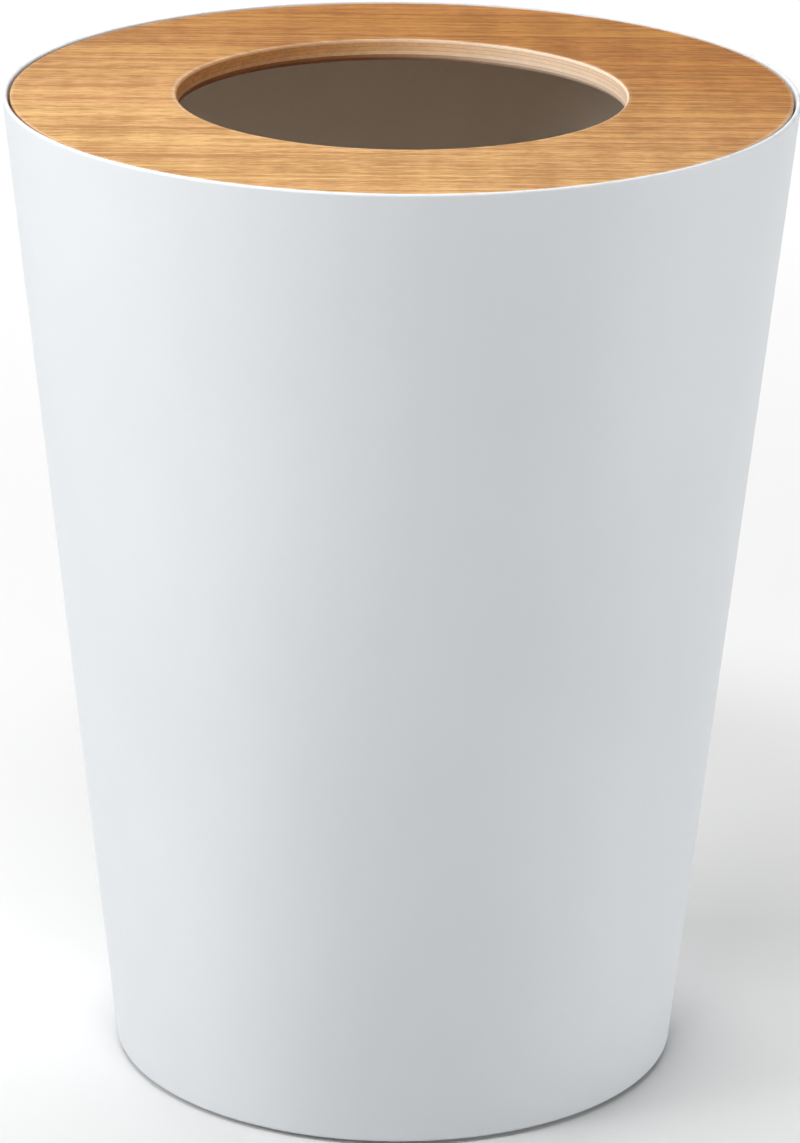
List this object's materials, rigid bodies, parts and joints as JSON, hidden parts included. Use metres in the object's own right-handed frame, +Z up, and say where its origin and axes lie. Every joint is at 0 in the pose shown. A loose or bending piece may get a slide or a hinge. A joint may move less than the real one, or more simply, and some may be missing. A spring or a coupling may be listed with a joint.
{
  "type": "wastebasket",
  "caption": "Tapered round steel wastebasket with a hemmed rim and a loose plywood ring lid that lies flush inside the rim and lifts out.",
  "frame": {"origin": "on the floor under the foot pads, on the bin's axis", "axes": "+Z up along the bin's axis; X along the grain of the lid's face; -Y to the front"},
  "size_m": [0.2248, 0.2248, 0.2885],
  "materials": {
    "white_shell": "satin white powder coat",
    "white_pan": "satin white powder coat",
    "foot_rubber": "matte grey rubber",
    "rest_rubber": "matte pale rubber",
    "wood_face": "clear-lacquered light brown veneer, straight grain",
    "wood_crossband": "lacquered ply edge, darker",
    "wood_core": "lacquered ply edge, pale",
    "wood_back": "lacquered veneer"
  },
  "bodies": {
    "bin": {"side_wall": "white_shell", "base_pan": "white_pan", "foot_pad_1": "foot_rubber", "foot_pad_2": "foot_rubber", "foot_pad_3": "foot_rubber", "foot_pad_4": "foot_rubber", "lid_bracket_1": "white_shell", "lid_bracket_2": "white_shell", "lid_bracket_3": "white_shell", "lid_bracket_4": "white_shell", "rest_pad_1": "rest_rubber", "rest_pad_2": "rest_rubber", "rest_pad_3": "rest_rubber", "rest_pad_4": "rest_rubber"},
    "lid": {"lid_face_ply": "wood_face", "lid_upper_crossband": "wood_crossband", "lid_upper_core_ply": "wood_core", "lid_lower_core_ply": "wood_core", "lid_lower_crossband": "wood_crossband", "lid_back_ply": "wood_back"}
  },
  "joints": [
    {"name": "lid_lift", "type": "slide", "parent": "bin", "child": "lid", "axis": [0, 0, 1], "range_m": [0, 0.06]}
  ]
}
